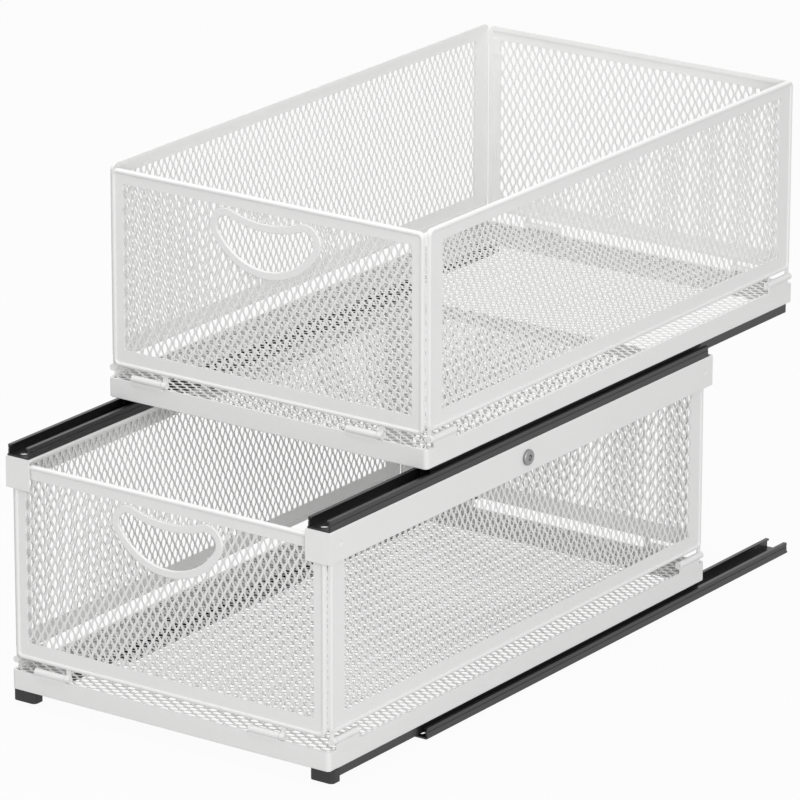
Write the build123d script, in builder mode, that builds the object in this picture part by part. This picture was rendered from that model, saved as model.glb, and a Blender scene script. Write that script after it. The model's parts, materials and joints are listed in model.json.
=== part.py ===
"""Two-tier pull-out cabinet basket: two folding expanded-metal baskets on ball-bearing slides.

X runs across the width (right is +), Y from front to back, Z up. Lengths are in millimetres.
The lower basket stands pulled forward and the upper one is left behind, above the base rails.
"""

from build123d import *
from math import hypot, sqrt
import os

# ---- Tray: one sheet rim with a mesh floor, the same for both baskets
tray_width = 253.0
tray_length = 432.0
tray_corner = 3.0
rim_height = 12.2
rim_sheet = 1.0
rim_flange = 12.0
rim_edge = 0.8
floor_sheet = 1.0
floor_gap_long = 38.0
floor_gap_short = 28.0
floor_border = 5.0

# ---- Wall panels: a flat sheet frame with a bead round a window of mesh
bead = 3.0
panel_sheet = 1.0
bead_corner = 4.5
front_inset = 0.3
side_inset = 0.3
front_top = 155.3
side_top = 157.0
front_bottom = 22.0
side_bottom = 24.0
top_band = 9.4
bottom_band = 11.5
front_stile = 8.9
side_stile = 15.0
window_corner = 1.0
panel_gap_long = 27.0
end_gap_short = 16.0
side_gap_short = 28.0
mesh_strand = 1.6
mesh_border = 1.0
running_gap = 0.3

# ---- Hinges: barrels on the rim, knuckles on the panels, one pin through each pair
barrel_radius = 2.4
pin_radius = 1.2
pin_clearance = 0.05
barrel_length = 24.0
knuckle_length = 3.5
knuckle_radius = 2.3
hinge_proud = 1.5
hinge_floor_gap = 0.1
leaf_sheet = 0.6
leaf_overlap = 1.5
pin_recess = 1.0
pin_grip = 0.01
front_barrel_left = -107.0
front_barrel_right = 64.0

# ---- Hand hole: two round lobes joined by a deep lower curve and a shallow dip
grip_spread = 31.0
grip_lobe = 12.6
grip_top_gap = 1.3
grip_drop = 29.4
grip_dip = 7.0
grip_ring = 5.2
grip_thickness = 2.4
grip_edge = 0.6

# ---- Corner clips on the front and back panels
clip_heights = (65.0, 141.0)
clip_length = 6.5
clip_tall = 11.0
clip_sheet = 1.0

# ---- Ball-bearing slides, on their backs
slide_height = 11.2
slide_inset = 8.0
rail_length = 432.0
rail_width = 17.0
rail_height = 7.4
rail_sheet = 1.2
rail_lip = 2.6
rail_tongue = 1.0
rail_corner = 0.8
rail_groove = 0.8
rail_groove_depth = 0.3
screw_hole = 3.0
screw_hole_inset = 6.5
ball_radius = 1.45
race_gap = 0.1
ball_height = 4.6
ball_pitch = 12.0
balls_per_side = 9
cage_sheet = 0.6
cage_height = 2.3
cage_top = 5.8
cage_end = 12.0
runner_sheet = 1.2
runner_gap = 0.4
runner_front = 10.0
runner_back = 2.0
stop_width = 18.0
stop_drop = 8.4
stop_front = 2.0
stop_corner = 3.0
rivet_radius = 1.6
rivet_head = 2.6
rivet_head_height = 0.7
runner_rivets = 4
runner_rivet_inset = 22.0
rail_rivet_inset = 60.0

# ---- Carriers over the lower side panels
carrier_sheet = 1.5
carrier_side_sheet = 1.2
carrier_width = 18.5
carrier_drop = 21.0
carrier_seat_gap = 0.6
carrier_side_gap = 0.2
carrier_front_gap = 0.1
carrier_back_gap = 2.8
carrier_edge = 0.8
dimple_inset = 10.6
dimple_radius = 2.2
dimple_depth = 0.5
dimple_height = 10.0
screw_radius = 2.0
screw_clearance = 0.2
screw_head = 5.3
screw_head_height = 2.3
screw_height = 148.5
screw_recess = 2.2
nut_across = 7.0
nut_height = 2.4

# ---- Pose: how far the lower basket stands forward of the upper one
pull = 105.0

# ---- Sizes that follow
tray_top = rim_height + floor_sheet
hinge_inset = barrel_radius - hinge_proud
front_hinge_height = tray_top + hinge_floor_gap + barrel_radius
front_fold_top = front_hinge_height + hinge_inset - front_inset
side_hinge_height = front_fold_top + running_gap + side_inset + bead - hinge_inset
hinge_reach = max(hinge_inset + barrel_radius, side_inset + bead)
front_half = tray_width / 2 - hinge_reach - running_gap
side_half = tray_length / 2 - front_inset - bead - running_gap
grip_height = front_top - top_band - grip_top_gap - grip_lobe
slide_centre = tray_width / 2 - slide_inset
ball_centre = rail_width / 2 - rail_sheet - race_gap - ball_radius
runner_half = ball_centre - ball_radius - race_gap
runner_foot = cage_height + cage_sheet + runner_gap
cage_half = ball_centre + cage_sheet / 2
cage_length = (balls_per_side - 1) * ball_pitch + 2 * cage_end
carrier_outer = tray_width / 2 - side_inset + carrier_side_gap + carrier_side_sheet
carrier_seat = side_top + carrier_seat_gap
carrier_top = carrier_seat + carrier_sheet
carrier_reach = carrier_side_sheet + carrier_front_gap - front_inset
rail_front = carrier_front_gap

front_reach = max(carrier_reach, hinge_proud)
overall_length = front_reach + pull + tray_length + hinge_proud
lower_front = -overall_length / 2 + front_reach
upper_front = lower_front + pull
lower_bottom = slide_height
upper_bottom = lower_bottom + carrier_top + slide_height
top_rail_bottom = lower_bottom + carrier_top

os.makedirs("parts", exist_ok=True)


def save(piece, name):
    """Write one finished piece under its own name."""
    piece.part.label = name
    export_step(piece.part, f"parts/{name}.step")


# ---- Walls: a plane on each outer face of a tray, its x along the wall, its y up, facing out
def walls(front, bottom):
    """The four wall planes of the tray whose front face is at front and underside at bottom."""
    middle = front + tray_length / 2
    side = tray_width / 2
    return {
        "front": Plane(origin=(0, front, bottom), x_dir=(1, 0, 0), z_dir=(0, -1, 0)),
        "back": Plane(
            origin=(0, front + tray_length, bottom), x_dir=(-1, 0, 0), z_dir=(0, 1, 0)
        ),
        "right": Plane(origin=(side, middle, bottom), x_dir=(0, 1, 0), z_dir=(1, 0, 0)),
        "left": Plane(origin=(-side, middle, bottom), x_dir=(0, -1, 0), z_dir=(-1, 0, 0)),
    }


def across(wall, along):
    """The plane that cuts across a wall at a place along it: x points out and y up."""
    start = wall.from_local_coords((along, 0, 0))
    return Plane(origin=start, x_dir=wall.z_dir, z_dir=wall.x_dir * -1)


class PanelSize:
    """Where one kind of wall panel lies on its wall plane."""

    def __init__(self, half, bottom, top, inset, stile, gap_short, hinge_height, barrels):
        self.half = half
        self.bottom = bottom
        self.top = top
        self.inset = inset
        self.gap_short = gap_short
        self.hinge_height = hinge_height
        self.barrels = barrels
        self.middle = (top + bottom) / 2
        self.window_half = half - stile
        self.window_bottom = bottom + bottom_band
        self.window_top = top - top_band
        self.window_middle = (self.window_bottom + self.window_top) / 2
        self.window_tall = self.window_top - self.window_bottom
        self.sheet_back = inset + bead / 2 + panel_sheet / 2


# Each barrel is given by its lower end along the wall and the side that its knuckle is on.
side_barrel = side_half - knuckle_length - running_gap - barrel_length
end_panel = PanelSize(
    front_half,
    front_bottom,
    front_top,
    front_inset,
    front_stile,
    end_gap_short,
    front_hinge_height,
    ((front_barrel_left, 1), (front_barrel_right, 1)),
)
side_panel = PanelSize(
    side_half,
    side_bottom,
    side_top,
    side_inset,
    side_stile,
    side_gap_short,
    side_hinge_height,
    ((-side_barrel - barrel_length, -1), (side_barrel, 1)),
)
panel_sizes = {
    "front": end_panel,
    "back": end_panel,
    "left": side_panel,
    "right": side_panel,
}


def knuckle_start(barrel, side):
    """The lower end of the knuckle beside a barrel."""
    if side > 0:
        return barrel + barrel_length + running_gap
    return barrel - running_gap - knuckle_length


# ---- Tray rim: upright band with rounded corners and a flange turned in at the bottom
def tray_rim(front, bottom):
    centre = (0, front + tray_length / 2, bottom)
    with BuildPart() as rim:
        with BuildSketch(Plane(origin=centre)):
            RectangleRounded(tray_width, tray_length, tray_corner)
            RectangleRounded(
                tray_width - 2 * rim_sheet,
                tray_length - 2 * rim_sheet,
                tray_corner - rim_sheet,
                mode=Mode.SUBTRACT,
            )
        extrude(amount=rim_height)
        with BuildSketch(Plane(origin=centre)):
            RectangleRounded(tray_width, tray_length, tray_corner)
            Rectangle(
                tray_width - 2 * rim_flange,
                tray_length - 2 * rim_flange,
                mode=Mode.SUBTRACT,
            )
        extrude(amount=rim_sheet)
        lowest = rim.faces().sort_by(Axis.Z)[0]
        fillet(lowest.outer_wire().edges(), rim_edge)
        with Locations(*runner_rivet_places(front, bottom)):
            Cylinder(rivet_radius, 3 * rim_sheet, mode=Mode.SUBTRACT)
    return rim


def runner_rivet_places(front, bottom):
    """Centres of the rivets that hold the runners to a tray's flange."""
    first = front + runner_front + runner_rivet_inset
    last = front + tray_length - runner_back - runner_rivet_inset
    step = (last - first) / (runner_rivets - 1)
    return [
        (side * slide_centre, first + row * step, bottom)
        for side in (-1, 1)
        for row in range(runner_rivets)
    ]


# ---- Staggered rows of diamond gaps that keep clear of a border
def gap_centres(half_x, half_y, pitch_x, pitch_y, keep_out=None):
    """Centres of the diamonds inside a rectangle, every other row moved by half a pitch."""
    reach_x = half_x - mesh_border - pitch_x / 2
    reach_y = half_y - mesh_border - pitch_y / 2
    rows = int(reach_y / (pitch_y / 2))
    columns = int(half_x / pitch_x) + 1
    centres = []
    for row in range(-rows, rows + 1):
        shift = pitch_x / 2 if row % 2 else 0.0
        for column in range(-columns, columns + 1):
            x = column * pitch_x + shift
            y = row * pitch_y / 2
            if abs(x) <= reach_x and not (keep_out and keep_out(x, y)):
                centres.append((x, y))
    return centres


def diamonds(centres, pitch_x, pitch_y):
    """Cut one diamond gap at each centre out of the sketch that is open."""
    half_x = pitch_x / 2 - mesh_strand / 2
    half_y = pitch_y / 2 - mesh_strand / 2
    with Locations(*centres):
        Polygon(
            (-half_x, 0),
            (0, -half_y),
            (half_x, 0),
            (0, half_y),
            mode=Mode.SUBTRACT,
        )


# ---- Tray mesh: the floor sheet, laid on the rim out to its edge
def tray_mesh(front, bottom):
    plane = Plane(origin=(0, front + tray_length / 2, bottom + rim_height))
    centres = gap_centres(
        tray_width / 2 - floor_border,
        tray_length / 2 - floor_border,
        floor_gap_long,
        floor_gap_short,
    )
    with BuildPart() as mesh:
        with BuildSketch(plane):
            RectangleRounded(tray_width, tray_length, tray_corner)
            diamonds(centres, floor_gap_long, floor_gap_short)
        extrude(amount=floor_sheet)
    return mesh


# ---- Hinge barrels: a curl over a short leaf that is welded to the rim's outer face
def hinge_barrels(front, bottom):
    with BuildPart() as barrels:
        for name, wall in walls(front, bottom).items():
            size = panel_sizes[name]
            leaf_bottom = tray_top - leaf_overlap
            leaf_tall = size.hinge_height - leaf_bottom
            for start, _ in size.barrels:
                with BuildSketch(across(wall, start)):
                    with Locations((-hinge_inset, size.hinge_height)):
                        Circle(barrel_radius)
                    with Locations((leaf_sheet / 2, leaf_bottom + leaf_tall / 2)):
                        Rectangle(leaf_sheet, leaf_tall)
                    with Locations((-hinge_inset, size.hinge_height)):
                        Circle(pin_radius + pin_clearance, mode=Mode.SUBTRACT)
                extrude(amount=-barrel_length)
    return barrels


# ---- Hinge pins: held in the knuckle, turning in the barrel
def hinge_pins(planes_and_sizes):
    length = barrel_length + running_gap + knuckle_length - pin_recess
    with BuildPart() as pins:
        for wall, size in planes_and_sizes:
            for start, side in size.barrels:
                lowest = start + pin_recess
                if side < 0:
                    lowest = start - running_gap - knuckle_length
                with BuildSketch(across(wall, lowest)):
                    with Locations((-hinge_inset, size.hinge_height)):
                        Circle(pin_radius)
                extrude(amount=-length)
    return pins


# ---- Panel frame: flat band round the window, an edge that is round outside, two knuckles
def clip_places(size):
    """Middle of each corner clip on an end panel, along the wall and up."""
    along = size.half - clip_length / 2
    return [(side * along, height) for side in (-1, 1) for height in clip_heights]


def panel_frame(wall, size, clips, carrier_screw):
    edge = bead / 2
    sheet_plane = wall.offset(-size.sheet_back)
    bead_plane = wall.offset(-size.inset - edge)
    wide = 2 * (size.half - edge)
    tall = size.top - size.bottom - bead
    corners = [
        (-wide / 2, size.bottom + edge),
        (wide / 2, size.bottom + edge),
        (wide / 2, size.top - edge),
        (-wide / 2, size.top - edge),
    ]
    with BuildPart() as frame:
        with BuildSketch(sheet_plane):
            with Locations((0, size.middle)):
                RectangleRounded(wide, tall, bead_corner - edge)
            with Locations((0, size.window_middle)):
                RectangleRounded(
                    2 * size.window_half,
                    size.window_tall,
                    window_corner,
                    mode=Mode.SUBTRACT,
                )
            if carrier_screw:
                with Locations((0, screw_height)):
                    Circle(screw_radius + screw_clearance, mode=Mode.SUBTRACT)
        extrude(amount=panel_sheet)
        with BuildLine(bead_plane) as path:
            FilletPolyline(*corners, radius=bead_corner - edge, close=True)
        with BuildSketch(Plane(origin=path.line @ 0, x_dir=wall.z_dir, z_dir=path.line % 0)):
            Circle(edge)
            with Locations((-edge / 2, 0)):
                Rectangle(edge, bead)
        sweep(path=path.line)
        for start, side in size.barrels:
            with BuildSketch(across(wall, knuckle_start(start, side))):
                with Locations((-hinge_inset, size.hinge_height)):
                    Circle(knuckle_radius)
                tongue = size.bottom + bead - size.hinge_height
                with Locations(
                    (panel_sheet / 2 - size.sheet_back, size.hinge_height + tongue / 2)
                ):
                    Rectangle(panel_sheet, tongue)
                with Locations((-hinge_inset, size.hinge_height)):
                    Circle(pin_radius + pin_grip, mode=Mode.SUBTRACT)
            extrude(amount=-knuckle_length)
        if clips:
            with BuildSketch(wall.offset(-size.inset - bead)):
                with Locations(*clip_places(size)):
                    Rectangle(clip_length, clip_tall)
            extrude(amount=clip_sheet, mode=Mode.SUBTRACT)
    return frame


# ---- Corner clips: small tabs let into the inner face of the end panels
def corner_clips(wall, size):
    with BuildPart() as clips:
        with BuildSketch(wall.offset(-size.inset - bead)):
            with Locations(*clip_places(size)):
                Rectangle(clip_length, clip_tall)
        extrude(amount=clip_sheet)
    return clips


# ---- Hand hole outline, bigger or smaller by an even margin
def grip_circles(grow):
    """Radii of the lobes, the lower curve and the dip, and the heights of the last two."""
    lower = (grip_spread**2 + grip_drop**2 - grip_lobe**2) / (2 * (grip_drop - grip_lobe))
    dip = (grip_spread**2 + grip_dip**2 - grip_lobe**2) / (2 * (grip_lobe - grip_dip))
    lower_height = grip_height - grip_drop + lower
    dip_height = grip_height + grip_dip + dip
    return grip_lobe + grow, lower + grow, dip - grow, lower_height, dip_height


def towards(start, end, distance):
    """The point at a distance from start, on the line towards end."""
    span = hypot(end[0] - start[0], end[1] - start[1])
    share = distance / span
    return start[0] + share * (end[0] - start[0]), start[1] + share * (end[1] - start[1])


def grip_outline(grow, mode=Mode.ADD):
    """Draw the bean as four arcs that meet smoothly, and add or cut its face."""
    lobe, lower, dip, lower_height, dip_height = grip_circles(grow)
    centre = (grip_spread, grip_height)
    low = towards((0, lower_height), centre, lower)
    high = towards((0, dip_height), centre, dip)
    side = (grip_spread + lobe, grip_height)
    with BuildLine() as outline:
        ThreePointArc((-low[0], low[1]), (0, lower_height - lower), low)
        ThreePointArc(low, side, high)
        ThreePointArc(high, (0, dip_height - dip), (-high[0], high[1]))
        ThreePointArc((-high[0], high[1]), (-side[0], side[1]), (-low[0], low[1]))
    make_face(outline.edges(), mode=mode)


def near_grip(x, y):
    """Whether a diamond centred here would reach into the hand hole's ring."""
    reach = panel_gap_long / 2 + mesh_strand
    lobe, lower, dip, lower_height, dip_height = grip_circles(0)
    if y > grip_height + lobe + reach or abs(x) > grip_spread + lobe + end_gap_short / 2:
        return False
    return hypot(x, y - lower_height) < lower + reach and hypot(x, y - dip_height) > dip - reach


# ---- Panel mesh: a sheet of diamond gaps that fills the frame's window
def panel_mesh(wall, size, with_grip, carrier_screw):
    def blocked(x, y):
        return with_grip and near_grip(x, y + size.window_middle)

    gap_short = size.gap_short
    centres = gap_centres(
        size.window_half, size.window_tall / 2, gap_short, panel_gap_long, blocked
    )
    with BuildPart() as mesh:
        with BuildSketch(wall.offset(-size.sheet_back)):
            with Locations((0, size.window_middle)):
                RectangleRounded(2 * size.window_half, size.window_tall, window_corner)
            places = [(x, y + size.window_middle) for x, y in centres]
            diamonds(places, gap_short, panel_gap_long)
            if with_grip:
                grip_outline(0, Mode.SUBTRACT)
            if carrier_screw:
                with Locations((0, screw_height)):
                    Circle(screw_radius + screw_clearance, mode=Mode.SUBTRACT)
        extrude(amount=panel_sheet)
    return mesh


# ---- Hand-hole ring: a flat band round the opening
def grip_band(wall, size):
    back = size.inset + bead / 2 + grip_thickness / 2
    with BuildPart() as ring:
        with BuildSketch(wall.offset(-back)):
            grip_outline(0)
            grip_outline(-grip_ring, Mode.SUBTRACT)
        extrude(amount=grip_thickness)
        flat = ring.faces().filter_by(GeomType.PLANE)
        fillet(flat.edges(), grip_edge)
    return ring


# ---- Slides
def channel_plane(side, front, bottom):
    """The plane at the front end of a slide: x across, y up, with the slide behind it."""
    return Plane(
        origin=(side * slide_centre, front, bottom), x_dir=(1, 0, 0), z_dir=(0, -1, 0)
    )


def slide_rail(side, front, bottom, rivets):
    """Outer channel, open at the top, its lips turned in over the balls."""
    half = rail_width / 2
    inner = half - rail_sheet
    with BuildPart() as rail:
        with BuildSketch(channel_plane(side, front, bottom)) as profile:
            with Locations((0, rail_height / 2)):
                Rectangle(rail_width, rail_height)
                Rectangle(2 * (half - rail_lip), rail_height, mode=Mode.SUBTRACT)
            with Locations((0, rail_height / 2)):
                Rectangle(2 * inner, rail_height - 2 * rail_sheet, mode=Mode.SUBTRACT)
            with Locations((0, rail_sheet / 2)):
                Rectangle(rail_width, rail_sheet)
            for outward in (-1, 1):
                with Locations((outward * half, ball_height)):
                    Rectangle(2 * rail_groove_depth, rail_groove, mode=Mode.SUBTRACT)
            outer_corners = profile.vertices().filter_by(
                lambda v: abs(abs(profile_x(v, side)) - half) < rail_groove_depth / 2
            )
            fillet(
                outer_corners.filter_by(
                    lambda v: v.Z < bottom + rail_groove
                    or v.Z > bottom + rail_height - rail_groove
                ),
                rail_corner,
            )
        extrude(amount=-rail_length)
        for end in (front, front + rail_length - rail_tongue):
            with BuildSketch(Plane(origin=(0, end, bottom + rail_sheet))):
                with Locations((side * slide_centre, rail_tongue / 2)):
                    Rectangle(rail_width, rail_tongue)
            extrude(amount=rail_height, mode=Mode.SUBTRACT)
        with Locations(*screw_places(side, front, bottom)):
            Cylinder(screw_hole, 3 * rail_sheet, mode=Mode.SUBTRACT)
        if rivets:
            with Locations(*rail_rivet_places(side, front, bottom)):
                Cylinder(rivet_radius, 3 * rail_sheet, mode=Mode.SUBTRACT)
    return rail


def profile_x(vertex, side):
    """How far a corner of a rail's profile lies from the slide's own middle."""
    return vertex.X - side * slide_centre


def screw_places(side, front, bottom):
    """Centres of the two screw holes in a rail's floor."""
    ends = (front + screw_hole_inset, front + rail_length - screw_hole_inset)
    return [(side * slide_centre, end, bottom) for end in ends]


def rail_rivet_places(side, front, bottom):
    """Centres of the two rivets that hold a top rail to its carrier."""
    ends = (front + rail_rivet_inset, front + rail_length - rail_rivet_inset)
    return [(side * slide_centre, end, bottom) for end in ends]


def slide_runner(side, front, bottom):
    """Inner member under a tray: an upside-down channel that hangs between the balls."""
    length = tray_length - runner_front - runner_back
    with BuildPart() as runner:
        with BuildSketch(channel_plane(side, front + runner_front, bottom - slide_height)):
            tall = slide_height - runner_foot
            with Locations((0, runner_foot + tall / 2)):
                Rectangle(2 * runner_half, tall)
            hollow = tall - runner_sheet
            with Locations((0, runner_foot + hollow / 2)):
                Rectangle(2 * (runner_half - runner_sheet), hollow, mode=Mode.SUBTRACT)
        extrude(amount=-length)
        places = [p for p in runner_rivet_places(front, bottom) if p[0] * side > 0]
        with Locations(*places):
            Cylinder(rivet_radius, 3 * runner_sheet, mode=Mode.SUBTRACT)
    return runner


def rivets_through(places, lower, upper):
    """Solid rivets with a flat head above upper and another below lower."""
    with BuildPart() as rivets:
        for x, y, z in places:
            with BuildSketch(Plane(origin=(x, y, z + lower))):
                Circle(rivet_radius)
            extrude(amount=upper - lower)
            for height in (lower - rivet_head_height, upper):
                with BuildSketch(Plane(origin=(x, y, z + height))):
                    Circle(rivet_head)
                extrude(amount=rivet_head_height)
    return rivets


def cage_front(rail_start, runner_start, runner_end):
    """Front end of a cage that stands midway along the overlap of rail and runner."""
    start = max(rail_start, runner_start)
    end = min(rail_start + rail_length, runner_end)
    return (start + end - cage_length) / 2


def ball_cages(front, bottom):
    """Two thin strips bent up at their sides, with a pocket for each ball."""
    with BuildPart() as cages:
        for side in (-1, 1):
            with BuildSketch(channel_plane(side, front, bottom)):
                tall = cage_top - cage_height
                with Locations((0, cage_height + tall / 2)):
                    Rectangle(2 * cage_half, tall)
                with Locations((0, cage_height + cage_sheet + tall / 2)):
                    Rectangle(2 * (cage_half - cage_sheet), tall, mode=Mode.SUBTRACT)
            extrude(amount=-cage_length)
        for side in (-1, 1):
            with BuildSketch(Plane.YZ.offset(side * slide_centre - rail_width / 2)):
                with Locations(*[(y, bottom + ball_height) for y in ball_rows(front)]):
                    Circle(ball_radius + race_gap)
            extrude(amount=rail_width, mode=Mode.SUBTRACT)
    return cages


def ball_rows(front):
    """Places of the balls along a cage."""
    return [front + cage_end + row * ball_pitch for row in range(balls_per_side)]


def slide_balls(front, bottom):
    with BuildPart() as balls:
        places = [
            (side * slide_centre + race * ball_centre, y, bottom + ball_height)
            for side in (-1, 1)
            for race in (-1, 1)
            for y in ball_rows(front)
        ]
        with Locations(*places):
            Sphere(ball_radius)
    return balls


def runner_stops(front, bottom):
    """Blocks under the front corners that meet the base rails when the basket is home."""
    depth = runner_front - stop_front
    with BuildPart() as stops:
        for side in (-1, 1):
            middle = front + stop_front + depth / 2
            with BuildSketch(Plane(origin=(side * slide_centre, middle, bottom - stop_drop))):
                Rectangle(stop_width, depth)
            extrude(amount=stop_drop)
        upright = stops.edges().filter_by(Axis.Z)
        front_edges = upright.filter_by(lambda e: e.center().Y < front + stop_front + 1)
        fillet(front_edges, stop_corner)
    return stops


# ---- Carriers: caps over the lower side panels, turned down outside and at both ends
def carrier(side, front, bottom):
    outer = side * carrier_outer
    start = front - carrier_reach
    length = tray_length + carrier_reach + carrier_back_gap + carrier_side_sheet
    top = bottom + carrier_top
    middle = (outer - side * carrier_width / 2, start + length / 2)
    inner_wide = carrier_width - carrier_side_sheet
    with BuildPart() as cap:
        with BuildSketch(Plane(origin=(*middle, top - carrier_drop))):
            Rectangle(carrier_width, length)
        extrude(amount=carrier_drop)
        inner_x = middle[0] - side * carrier_side_sheet / 2
        with BuildSketch(Plane(origin=(inner_x, middle[1], top - carrier_drop))):
            Rectangle(inner_wide, length - 2 * carrier_side_sheet)
        extrude(amount=carrier_drop - carrier_sheet, mode=Mode.SUBTRACT)
        outside = Plane(origin=(outer, 0, 0), x_dir=(0, side, 0), z_dir=(side, 0, 0))
        with BuildSketch(outside):
            with Locations((side * (front + tray_length / 2), bottom + screw_height)):
                Circle(screw_radius + screw_clearance)
        extrude(amount=-2 * carrier_side_sheet, mode=Mode.SUBTRACT)
        with BuildSketch(outside):
            dimples = (front + dimple_inset, front + tray_length - dimple_inset / 2)
            height = top - dimple_height
            with Locations(*[(side * y, height) for y in dimples]):
                Circle(dimple_radius)
        extrude(amount=-dimple_depth, mode=Mode.SUBTRACT)
        with Locations(*rail_rivet_places(side, front + rail_front, top)):
            Cylinder(rivet_radius, 3 * carrier_sheet, mode=Mode.SUBTRACT)
        long_edges = cap.edges().filter_by(Axis.Y).sort_by(Axis.Z)
        crest = [e for e in long_edges if abs(e.center().X - outer) < rim_edge / 2]
        fillet(crest[-1:], carrier_edge)
    return cap


def carrier_screws(front, bottom):
    """Round-head screws through the carriers into nuts inside the side panels."""
    with BuildPart() as screws:
        for side in (-1, 1):
            reach = carrier_outer - screw_end()
            face = Plane(
                origin=(side * carrier_outer, front + tray_length / 2, bottom + screw_height),
                x_dir=(0, side, 0),
                z_dir=(side, 0, 0),
            )
            with BuildSketch(face):
                Circle(screw_head)
            extrude(amount=screw_head_height)
            with BuildSketch(face):
                Circle(screw_radius)
            extrude(amount=-reach)
            with BuildSketch(face.offset(screw_head_height)):
                RegularPolygon(screw_recess, 6)
            extrude(amount=-screw_head_height / 2, mode=Mode.SUBTRACT)
        rims = screws.edges().filter_by(GeomType.CIRCLE).filter_by(is_head_rim)
        fillet(rims, screw_head_height / 2)
    return screws


def is_head_rim(edge):
    """Whether an edge is the outer rim of a screw head."""
    far = abs(edge.center().X) > carrier_outer + screw_head_height / 2
    return far and edge.radius > screw_radius + screw_recess / 2


def screw_end():
    """Distance of a carrier screw's tip from the middle of the basket."""
    return nut_inner() - screw_clearance


def nut_inner():
    """Distance of a nut's inner face from the middle of the basket."""
    return tray_width / 2 - side_panel.sheet_back - nut_height


def carrier_nuts(front, bottom):
    with BuildPart() as nuts:
        for side in (-1, 1):
            face = Plane(
                origin=(
                    side * nut_inner(),
                    front + tray_length / 2,
                    bottom + screw_height,
                ),
                x_dir=(0, side, 0),
                z_dir=(side, 0, 0),
            )
            with BuildSketch(face):
                RegularPolygon(nut_across / sqrt(3), 6)
                Circle(screw_radius + pin_grip, mode=Mode.SUBTRACT)
            extrude(amount=nut_height)
    return nuts


# ---- Both baskets
side_names = {-1: "left", 1: "right"}
for tier, front, bottom in (
    ("lower", lower_front, lower_bottom),
    ("upper", upper_front, upper_bottom),
):
    planes = walls(front, bottom)
    save(tray_rim(front, bottom), f"{tier}_tray_rim")
    save(tray_mesh(front, bottom), f"{tier}_tray_mesh")
    save(hinge_barrels(front, bottom), f"{tier}_hinge_barrels")
    for name, wall in planes.items():
        size = panel_sizes[name]
        is_end = size is end_panel
        screwed = tier == "lower" and not is_end
        save(panel_frame(wall, size, is_end, screwed), f"{tier}_{name}_panel_frame")
        save(panel_mesh(wall, size, name == "front", screwed), f"{tier}_{name}_panel_mesh")
        if is_end:
            save(corner_clips(wall, size), f"{tier}_{name}_corner_clips")
        if is_end or tier == "upper":
            save(hinge_pins([(wall, size)]), f"{tier}_{name}_hinge_pins")
    save(grip_band(planes["front"], end_panel), f"{tier}_hand_hole_ring")
    for side, name in side_names.items():
        save(slide_runner(side, front, bottom), f"{tier}_runner_{name}")
    places = runner_rivet_places(front, bottom)
    save(rivets_through(places, -runner_sheet, rim_sheet), f"{tier}_runner_rivets")

lower_walls = walls(lower_front, lower_bottom)
lower_sides = [(lower_walls[name], side_panel) for name in ("left", "right")]
save(hinge_pins(lower_sides), "lower_side_hinge_pins")
save(runner_stops(lower_front, lower_bottom), "lower_runner_stops")

# ---- Slides: base rails under the lower basket, top rails on its carriers
top_rail_front = lower_front + rail_front
for side, name in side_names.items():
    save(slide_rail(side, upper_front, 0, False), f"base_rail_{name}")
    top_rail = slide_rail(side, top_rail_front, top_rail_bottom, True)
    save(top_rail, f"top_rail_{name}")
    save(carrier(side, lower_front, lower_bottom), f"carrier_{name}")
save(carrier_screws(lower_front, lower_bottom), "carrier_screws")
save(carrier_nuts(lower_front, lower_bottom), "carrier_nuts")
rail_rivets = [
    place
    for side in (-1, 1)
    for place in rail_rivet_places(side, top_rail_front, top_rail_bottom)
]
save(rivets_through(rail_rivets, -carrier_sheet, rail_sheet), "top_rail_rivets")

for tier, rail_start, front, bottom in (
    ("lower", upper_front, lower_front, 0),
    ("upper", top_rail_front, upper_front, top_rail_bottom),
):
    cage = cage_front(rail_start, front + runner_front, front + tray_length - runner_back)
    save(ball_cages(cage, bottom), f"{tier}_ball_cages")
    save(slide_balls(cage, bottom), f"{tier}_slide_balls")
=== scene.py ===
"""Two-tier pull-out cabinet basket of white expanded metal on black ball-bearing slides."""

import bpy
import json
import math
import numpy as np
from mathutils import Matrix, Vector

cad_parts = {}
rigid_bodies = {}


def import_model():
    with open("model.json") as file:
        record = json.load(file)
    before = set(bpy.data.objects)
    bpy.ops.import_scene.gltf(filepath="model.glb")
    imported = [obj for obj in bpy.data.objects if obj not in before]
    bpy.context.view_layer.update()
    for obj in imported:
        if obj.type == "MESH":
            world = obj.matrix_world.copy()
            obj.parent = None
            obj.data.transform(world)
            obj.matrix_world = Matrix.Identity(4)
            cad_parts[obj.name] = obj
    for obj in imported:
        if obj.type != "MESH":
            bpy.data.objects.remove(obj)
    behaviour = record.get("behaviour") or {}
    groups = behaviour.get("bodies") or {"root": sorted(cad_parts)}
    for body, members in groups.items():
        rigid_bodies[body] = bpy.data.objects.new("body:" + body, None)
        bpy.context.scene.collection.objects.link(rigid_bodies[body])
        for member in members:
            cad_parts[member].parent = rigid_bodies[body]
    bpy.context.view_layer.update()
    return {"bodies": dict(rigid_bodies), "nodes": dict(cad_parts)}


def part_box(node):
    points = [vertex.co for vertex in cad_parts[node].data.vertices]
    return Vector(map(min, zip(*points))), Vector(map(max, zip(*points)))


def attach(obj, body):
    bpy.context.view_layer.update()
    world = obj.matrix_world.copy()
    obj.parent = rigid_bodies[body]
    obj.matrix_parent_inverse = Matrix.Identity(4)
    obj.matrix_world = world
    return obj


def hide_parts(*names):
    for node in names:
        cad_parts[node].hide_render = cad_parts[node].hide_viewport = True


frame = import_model()


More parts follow.
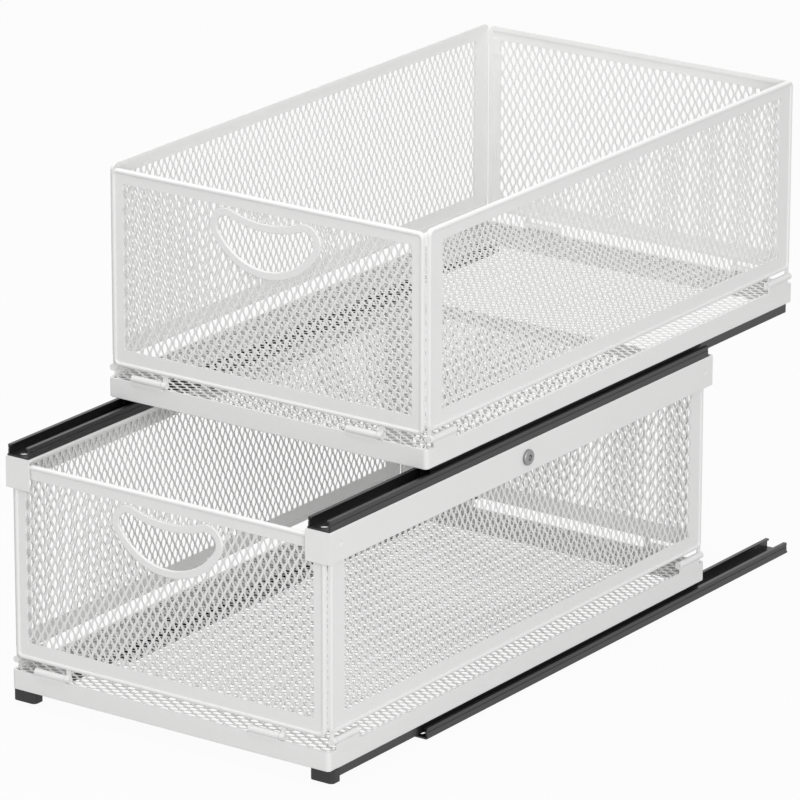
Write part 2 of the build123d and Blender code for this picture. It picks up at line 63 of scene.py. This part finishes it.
# ---- White parts: tray rims, hinges, panel frames, hand-hole rings, clips, carriers
# Thin steel sheet, stamped and rolled, then powder coated in white with a fine orange peel.
# The rims carry the hinge barrels, the frames turn on pins in these, and a screw holds each
# carrier over a lower side frame.
WHITE_PAINT = (0.88, 0.88, 0.875, 1.0)
WHITE_ROUGHNESS = 0.42
PEEL_SCALE = 900.0
PEEL_HEIGHT = 0.00004
PEEL_DETAIL = 2.0
TONE_SCALE = 28.0
TONE_DETAIL = 3.0
TONE_DROP = 0.97
BUMP_STRENGTH = 0.25


def paint_grain():
    """Node group: a fine bump from noise in metres, and a slow tone from wide noise."""
    group = bpy.data.node_groups.new("paint_grain", "ShaderNodeTree")
    group.interface.new_socket("Scale", in_out="INPUT", socket_type="NodeSocketFloat")
    group.interface.new_socket("Peel", in_out="OUTPUT", socket_type="NodeSocketFloat")
    group.interface.new_socket("Tone", in_out="OUTPUT", socket_type="NodeSocketFloat")
    nodes, links = group.nodes, group.links
    inlet = nodes.new("NodeGroupInput")
    outlet = nodes.new("NodeGroupOutput")
    place = nodes.new("ShaderNodeTexCoord")
    peel = nodes.new("ShaderNodeTexNoise")
    peel.inputs["Detail"].default_value = PEEL_DETAIL
    tone = nodes.new("ShaderNodeTexNoise")
    tone.inputs["Scale"].default_value = TONE_SCALE
    tone.inputs["Detail"].default_value = TONE_DETAIL
    links.new(place.outputs["Object"], peel.inputs["Vector"])
    links.new(place.outputs["Object"], tone.inputs["Vector"])
    links.new(inlet.outputs["Scale"], peel.inputs["Scale"])
    links.new(peel.outputs["Fac"], outlet.inputs["Peel"])
    links.new(tone.outputs["Fac"], outlet.inputs["Tone"])
    return group


GRAIN = paint_grain()


def painted(name, colour, shade, roughness, peel_scale, peel_height):
    """Material: one colour that drifts a little towards shade, under a fine coat grain."""
    material = bpy.data.materials.new(name)
    material.use_nodes = True
    nodes, links = material.node_tree.nodes, material.node_tree.links
    shader = nodes["Principled BSDF"]
    shader.inputs["Roughness"].default_value = roughness
    grain = nodes.new("ShaderNodeGroup")
    grain.node_tree = GRAIN
    grain.inputs["Scale"].default_value = peel_scale
    mix = nodes.new("ShaderNodeMix")
    mix.data_type = "RGBA"
    mix.inputs["A"].default_value = colour
    mix.inputs["B"].default_value = shade
    links.new(grain.outputs["Tone"], mix.inputs["Factor"])
    links.new(mix.outputs["Result"], shader.inputs["Base Color"])
    bump = nodes.new("ShaderNodeBump")
    bump.inputs["Strength"].default_value = BUMP_STRENGTH
    bump.inputs["Distance"].default_value = peel_height
    links.new(grain.outputs["Peel"], bump.inputs["Height"])
    links.new(bump.outputs["Normal"], shader.inputs["Normal"])
    return material


WHITE_SHADE = tuple(TONE_DROP * c for c in WHITE_PAINT[:3]) + (1.0,)
white = painted(
    "white_powder_coat", WHITE_PAINT, WHITE_SHADE, WHITE_ROUGHNESS, PEEL_SCALE, PEEL_HEIGHT
)


def dress(material, *words):
    """Give a material to every CAD node whose name holds one of the words."""
    for name, solid in frame["nodes"].items():
        if any(word in name for word in words):
            solid.material_slots[0].material = material


dress(white, "tray_rim", "hinge_barrels", "panel_frame", "hand_hole_ring", "corner_clips")
dress(white, "carrier_left", "carrier_right", "hinge_pins")


# ---- Panel meshes: raised expanded metal welded into each panel's window
# A sheet 0.5 mm thick is slit in staggered rows and pulled open, so that every strand leans
# out of the sheet and two strands merge at each bond. The long way of the diamonds stands up.
SHORT_WAY = 0.00625
LONG_WAY = 0.0109
STRAND_WIDTH = 0.00165
STRAND_SHEET = 0.0005
STRAND_LEAN = 0.22
BOND_LENGTH = 0.0022
WELD_OVERLAP = 0.0005
GRIP_STEP = 0.0014
LEAST_STEP = 0.00001


def strand_net(half_short, half_long, width, bond, step=None):
    """Corner points of all strands, as an array of strand, place along it, corner, (u, v, w).

    Strand k zigzags between u = k*s/2 and u = (k+1)*s/2, where s is the short way and l the
    long way. At v = n*l/2 it lies half a width inside the left line when k+n is even, else
    inside the right one, and it stays there over the bond's length. Between the bonds it runs
    straight. Its face leans: w = -lean*(u - line), so neighbours meet flush. A step adds
    places between the bonds, so that a hole can be cut.
    """
    half_pitch = SHORT_WAY / 2
    half_rise = LONG_WAY / 2
    count = int(math.ceil(half_short / half_pitch))
    strand = np.arange(-count, count)
    level = np.arange(-int(half_long / half_rise) - 2, int(half_long / half_rise) + 3)
    knots = (level[:, None] * half_rise + np.array([-0.5, 0.5]) * bond).ravel()
    inside = knots[np.abs(knots) < half_long - LEAST_STEP]
    if step:
        inside = np.union1d(inside, np.arange(-half_long + step, half_long - step / 2, step))
    v = np.concatenate([[-half_long], inside, [half_long]])
    swing = np.repeat(np.where(level % 2 == 0, -1.0, 1.0), 2)
    side = np.interp(v, knots, swing)
    sign = np.where(strand % 2 == 0, 1.0, -1.0)[:, None] * side[None, :]
    centre = (strand[:, None] + 0.5) * half_pitch + sign * (half_pitch - width) / 2
    lean = sign * STRAND_LEAN * width / 2
    across = np.array([-1, 1, 1, -1]) * width / 2
    through = np.array([-1, -1, 1, 1]) * STRAND_SHEET / 2 - across * STRAND_LEAN
    u = np.clip(centre[..., None] + across, -half_short, half_short)
    w = lean[..., None] + through
    return np.stack(np.broadcast_arrays(u, v[None, :, None], w), axis=-1)


def strand_faces(net, keep=None):
    """Quads of the strands: four long faces for each step kept, and a cap at both ends."""
    strands, places = net.shape[:2]
    index = np.arange(strands * places * 4).reshape(strands, places, 4)
    ring = np.roll(index, -1, axis=2)
    steps = np.stack([index[:, :-1], ring[:, :-1], ring[:, 1:], index[:, 1:]], axis=-1)
    if keep is not None:
        steps = steps[keep]
    low = index[:, 0, ::-1]
    high = index[:, -1]
    return np.concatenate([steps.reshape(-1, 4), low, high])


def mesh_piece(name, points, faces, material, body, nodes):
    """Make an object from arrays of points and quads, and hand it to the frame."""
    used, faces = np.unique(faces, return_inverse=True)
    faces = faces.reshape(-1, 4)
    mesh = bpy.data.meshes.new(name)
    mesh.from_pydata(points[used].tolist(), [], faces.tolist())
    mesh.materials.append(material)
    mesh.update()
    piece = bpy.data.objects.new(name, mesh)
    bpy.context.scene.collection.objects.link(piece)
    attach(piece, body)
    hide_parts(*nodes)
    return piece


def window_of(node, across_axis):
    """Middle and half sizes of a CAD panel mesh: across the panel, up, and its own plane."""
    low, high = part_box(node)
    low, high = np.array(low), np.array(high)
    middle, half = (low + high) / 2, (high - low) / 2
    return middle, half[across_axis] + WELD_OVERLAP, half[2] + WELD_OVERLAP


# The hand hole's bean outline is that of the ring that covers the cut ends of the strands.
GRIP_SPREAD = 0.031
GRIP_LOBE = 0.0126
GRIP_LOWER = 0.0496
GRIP_DIP = 0.076
GRIP_BELOW_RING_TOP = 0.0126
GRIP_CUT = 0.0026


def in_grip(u, v):
    """Whether points lie in the bean: inside the lower circle or a lobe, and not in the dip."""
    lobe = np.hypot(np.abs(u) - GRIP_SPREAD, v) < GRIP_LOBE - GRIP_CUT
    drop = np.sqrt((GRIP_LOWER - GRIP_LOBE) ** 2 - GRIP_SPREAD**2)
    rise = np.sqrt((GRIP_DIP + GRIP_LOBE) ** 2 - GRIP_SPREAD**2)
    bowl = np.hypot(u, v - drop) < GRIP_LOWER - GRIP_CUT
    dip = np.hypot(u, v - rise) < GRIP_DIP + GRIP_CUT
    between = (np.abs(u) < GRIP_SPREAD) & (v < GRIP_LOBE)
    return lobe | (bowl & ~dip & between)


for tier in ("lower", "upper"):
    for side, across_axis in (("front", 0), ("back", 0), ("left", 1), ("right", 1)):
        node = f"{tier}_{side}_panel_mesh"
        middle, half_across, half_up = window_of(node, across_axis)
        step = GRIP_STEP if side == "front" else None
        net = strand_net(half_across, half_up, STRAND_WIDTH, BOND_LENGTH, step)
        keep = None
        if side == "front":
            ring_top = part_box(f"{tier}_hand_hole_ring")[1][2]
            grip = ring_top - GRIP_BELOW_RING_TOP - middle[2]
            u = net[:, :, :, 0].mean(axis=2)
            u = (u[:, :-1] + u[:, 1:]) / 2
            v = (net[:, :-1, 0, 1] + net[:, 1:, 0, 1]) / 2
            keep = ~in_grip(u, v - grip)
        flat = net.reshape(-1, 3)
        points = np.empty_like(flat)
        points[:, across_axis] = middle[across_axis] + flat[:, 0]
        points[:, 1 - across_axis] = middle[1 - across_axis] + flat[:, 2]
        points[:, 2] = middle[2] + flat[:, 1]
        faces = strand_faces(net, keep)
        body = f"{tier}_{side}_panel"
        if body not in frame["bodies"]:
            body = f"{tier}_basket"
        if across_axis == 1:
            faces = faces[:, ::-1]
        mesh_piece(f"{tier}_{side}_expanded_metal", points, faces, white, body, [node])


# ---- Tray floors: the same expanded metal with its long way across, in a flat sheet border
# The narrow border is rolled flat along the net's edge. It lies on the rim's top, where it is
# spot welded.
FLOOR_STRAND_WIDTH = 0.0019
FLOOR_BOND_LENGTH = 0.0032
BORDER_WIDTH = 0.0016
BORDER_CORNER = 0.003
BORDER_INNER_CORNER = 0.0015
CORNER_STEPS = 8


def rounded_outline(half_x, half_y, radius):
    """Points round a rectangle with round corners: (a, b) + r*(cos t, sin t) in each corner."""
    turn = np.linspace(0, math.pi / 2, CORNER_STEPS)
    quarter = radius * np.stack([np.cos(turn), np.sin(turn)], axis=1)
    centre = np.array([half_x - radius, half_y - radius])
    first = centre + quarter
    second = (first * [-1, 1])[::-1]
    return np.concatenate([first, second, -first, -second])


for tier in ("lower", "upper"):
    low, high = (np.array(corner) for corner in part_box(f"{tier}_tray_mesh"))
    middle, half = (low + high) / 2, (high - low) / 2
    reach = half[:2] - BORDER_WIDTH + WELD_OVERLAP
    net = strand_net(reach[1], reach[0], FLOOR_STRAND_WIDTH, FLOOR_BOND_LENGTH)
    flat = net.reshape(-1, 3)
    net_points = middle + flat[:, [1, 0, 2]]
    net_points[:, 2] += high[2] - net_points[:, 2].max()
    net_faces = strand_faces(net)
    outer = rounded_outline(half[0], half[1], BORDER_CORNER)
    inner = rounded_outline(
        half[0] - BORDER_WIDTH, half[1] - BORDER_WIDTH, BORDER_INNER_CORNER
    )
    loops = [(inner, low[2]), (outer, low[2]), (outer, high[2]), (inner, high[2])]
    band = np.concatenate(
        [np.column_stack([line + middle[:2], np.full(len(line), z)]) for line, z in loops]
    )
    index = np.arange(len(band)).reshape(4, -1) + len(net_points)
    following = np.roll(index, -1, axis=1)
    above = np.roll(index, -1, axis=0)
    above_following = np.roll(above, -1, axis=1)
    band_faces = np.stack([index, following, above_following, above], axis=-1).reshape(-1, 4)
    points = np.concatenate([net_points, band])
    faces = np.concatenate([net_faces, band_faces])
    mesh_piece(
        f"{tier}_floor_expanded_metal",
        points,
        faces,
        white,
        f"{tier}_basket",
        [f"{tier}_tray_mesh"],
    )


# ---- Slides: rolled steel channels, electro-coated in black, with a low gloss
# The outer rails have turned-in lips. Those below are screwed to the cabinet's floor, those
# above are riveted to the carriers, and the runners are riveted under the trays' flanges.
BLACK_PAINT = (0.010, 0.010, 0.011, 1.0)
BLACK_SHADE = (0.016, 0.016, 0.017, 1.0)
BLACK_ROUGHNESS = 0.3
RAIL_GRAIN_SCALE = 1400.0
RAIL_GRAIN_HEIGHT = 0.00002
black = painted(
    "black_rail_coat",
    BLACK_PAINT,
    BLACK_SHADE,
    BLACK_ROUGHNESS,
    RAIL_GRAIN_SCALE,
    RAIL_GRAIN_HEIGHT,
)
dress(black, "base_rail", "top_rail_left", "top_rail_right", "runner_left", "runner_right")
dress(black, "rivets")


# ---- Runner stops: black moulded plastic blocks under the lower tray's front corners
# The surface is matt, with a faint grain from the mould. They cap the runners' front ends.
STOP_PLASTIC = (0.018, 0.018, 0.018, 1.0)
STOP_SHADE = (0.026, 0.026, 0.026, 1.0)
STOP_ROUGHNESS = 0.6
MOULD_GRAIN_SCALE = 2400.0
MOULD_GRAIN_HEIGHT = 0.00003
plastic = painted(
    "black_moulded_plastic",
    STOP_PLASTIC,
    STOP_SHADE,
    STOP_ROUGHNESS,
    MOULD_GRAIN_SCALE,
    MOULD_GRAIN_HEIGHT,
)
dress(plastic, "stops")


# ---- Bare metal: balls and cages in bright steel, screws and nuts in zinc
# The balls run in their cages between rail and runner. The screws go through the carriers and
# the lower side frames into the nuts. The zinc is duller, and has a fine crystalline grain.
STEEL = (0.62, 0.62, 0.63, 1.0)
STEEL_SHADE = (0.55, 0.55, 0.56, 1.0)
ZINC = (0.36, 0.36, 0.36, 1.0)
ZINC_SHADE = (0.28, 0.28, 0.28, 1.0)
STEEL_ROUGHNESS = 0.25
ZINC_ROUGHNESS = 0.4
METAL_GRAIN_SCALE = 3000.0
STEEL_GRAIN_HEIGHT = 0.00001
ZINC_GRAIN_HEIGHT = 0.00002
steel = painted(
    "bright_steel", STEEL, STEEL_SHADE, STEEL_ROUGHNESS, METAL_GRAIN_SCALE, STEEL_GRAIN_HEIGHT
)
zinc = painted(
    "zinc_plated_steel", ZINC, ZINC_SHADE, ZINC_ROUGHNESS, METAL_GRAIN_SCALE, ZINC_GRAIN_HEIGHT
)
for metal in (steel, zinc):
    metal.node_tree.nodes["Principled BSDF"].inputs["Metallic"].default_value = 1.0
dress(steel, "balls", "cages")
dress(zinc, "screws", "nuts")


# ---- Studio: a white floor, a white world, a lamp above and a lamp beside the camera
FLOOR_SIZE = 30.0
FLOOR_COLOUR = (0.5, 0.5, 0.5, 1.0)
FLOOR_ROUGHNESS = 0.9
FLOOR_GLOW = 0.95
BACKDROP_WHITE = (1.0, 1.0, 1.0, 1.0)
WORLD_STRENGTH = 0.53
LAMP_TARGET = (0, 0, 0.17)
TOP_LAMP_PLACE = (-0.3, -0.2, 2.2)
TOP_LAMP_SIZE = 1.8
TOP_LAMP_WATTS = 22.0
SIDE_LAMP_PLACE = (2.35, -2.15, 1.30)
SIDE_LAMP_SIZE = 1.6
SIDE_LAMP_WATTS = 45.0


def plain_view(nodes, links):
    """One where the camera, a reflection or a clear piece sees the backdrop, else nought."""
    path = nodes.new("ShaderNodeLightPath")
    seen_by = path.outputs["Is Camera Ray"]
    for ray in ("Is Glossy Ray", "Is Transmission Ray"):
        either = nodes.new("ShaderNodeMath")
        either.operation = "MAXIMUM"
        links.new(seen_by, either.inputs[0])
        links.new(path.outputs[ray], either.inputs[1])
        seen_by = either.outputs["Value"]
    return seen_by


ground = bpy.data.meshes.new("studio_floor")
corner = FLOOR_SIZE / 2
ground.from_pydata(
    [(-corner, -corner, 0), (corner, -corner, 0), (corner, corner, 0), (-corner, corner, 0)],
    [],
    [(0, 1, 2, 3)],
)
floor = bpy.data.objects.new("studio_floor", ground)
bpy.context.scene.collection.objects.link(floor)
floor_paint = bpy.data.materials.new("studio_floor_white")
floor_paint.use_nodes = True
nodes, links = floor_paint.node_tree.nodes, floor_paint.node_tree.links
nodes["Principled BSDF"].inputs["Base Color"].default_value = FLOOR_COLOUR
nodes["Principled BSDF"].inputs["Roughness"].default_value = FLOOR_ROUGHNESS
glow = nodes.new("ShaderNodeEmission")
glow.inputs["Color"].default_value = BACKDROP_WHITE
share = nodes.new("ShaderNodeMath")
share.operation = "MULTIPLY"
share.inputs[1].default_value = FLOOR_GLOW
blend = nodes.new("ShaderNodeMixShader")
links.new(plain_view(nodes, links), share.inputs[0])
links.new(share.outputs["Value"], blend.inputs["Fac"])
links.new(nodes["Principled BSDF"].outputs["BSDF"], blend.inputs[1])
links.new(glow.outputs["Emission"], blend.inputs[2])
links.new(blend.outputs["Shader"], nodes["Material Output"].inputs["Surface"])
ground.materials.append(floor_paint)

world = bpy.data.worlds.new("studio_world")
bpy.context.scene.world = world
world.use_nodes = True
nodes, links = world.node_tree.nodes, world.node_tree.links
backdrop = nodes["Background"]
backdrop.inputs["Color"].default_value = BACKDROP_WHITE
seen = nodes.new("ShaderNodeMath")
seen.operation = "MULTIPLY_ADD"
seen.inputs[1].default_value = 1.0 - WORLD_STRENGTH
seen.inputs[2].default_value = WORLD_STRENGTH
links.new(plain_view(nodes, links), seen.inputs[0])
links.new(seen.outputs["Value"], backdrop.inputs["Strength"])


def soft_lamp(name, place, size, power):
    """A square area lamp that points at the middle of the object."""
    lamp = bpy.data.lights.new(name, "AREA")
    lamp.shape = "SQUARE"
    lamp.size = size
    lamp.energy = power
    holder = bpy.data.objects.new(name, lamp)
    bpy.context.scene.collection.objects.link(holder)
    holder.location = place
    target = Vector(LAMP_TARGET)
    holder.rotation_mode = "QUATERNION"
    holder.rotation_quaternion = (target - holder.location).to_track_quat("-Z", "Y")


soft_lamp("top_lamp", TOP_LAMP_PLACE, TOP_LAMP_SIZE, TOP_LAMP_WATTS)
soft_lamp("camera_side_lamp", SIDE_LAMP_PLACE, SIDE_LAMP_SIZE, SIDE_LAMP_WATTS)


# ---- Camera: a long lens from the right of the front, at the photograph's height and angle
CAMERA_PLACE = (2.3408, -3.3160, 1.5207)
CAMERA_TURN = 35.335
CAMERA_DOWN = 18.544
CAMERA_ROLL = 0.108
FOCAL_PIXELS = 6484.8
PHOTO_PIXELS = 800.0
SENSOR = 36.0
FAR_CLIP = 100.0
lens = bpy.data.cameras.new("photo_camera")
lens.sensor_width = SENSOR
lens.lens = FOCAL_PIXELS / PHOTO_PIXELS * SENSOR
lens.clip_end = FAR_CLIP
camera = bpy.data.objects.new("photo_camera", lens)
bpy.context.scene.collection.objects.link(camera)
camera.matrix_world = (
    Matrix.Translation(CAMERA_PLACE)
    @ Matrix.Rotation(math.radians(CAMERA_TURN), 4, "Z")
    @ Matrix.Rotation(math.radians(90 - CAMERA_DOWN), 4, "X")
    @ Matrix.Rotation(math.radians(CAMERA_ROLL), 4, "Z")
)
bpy.context.scene.camera = camera
bpy.context.scene.view_settings.view_transform = "Standard"
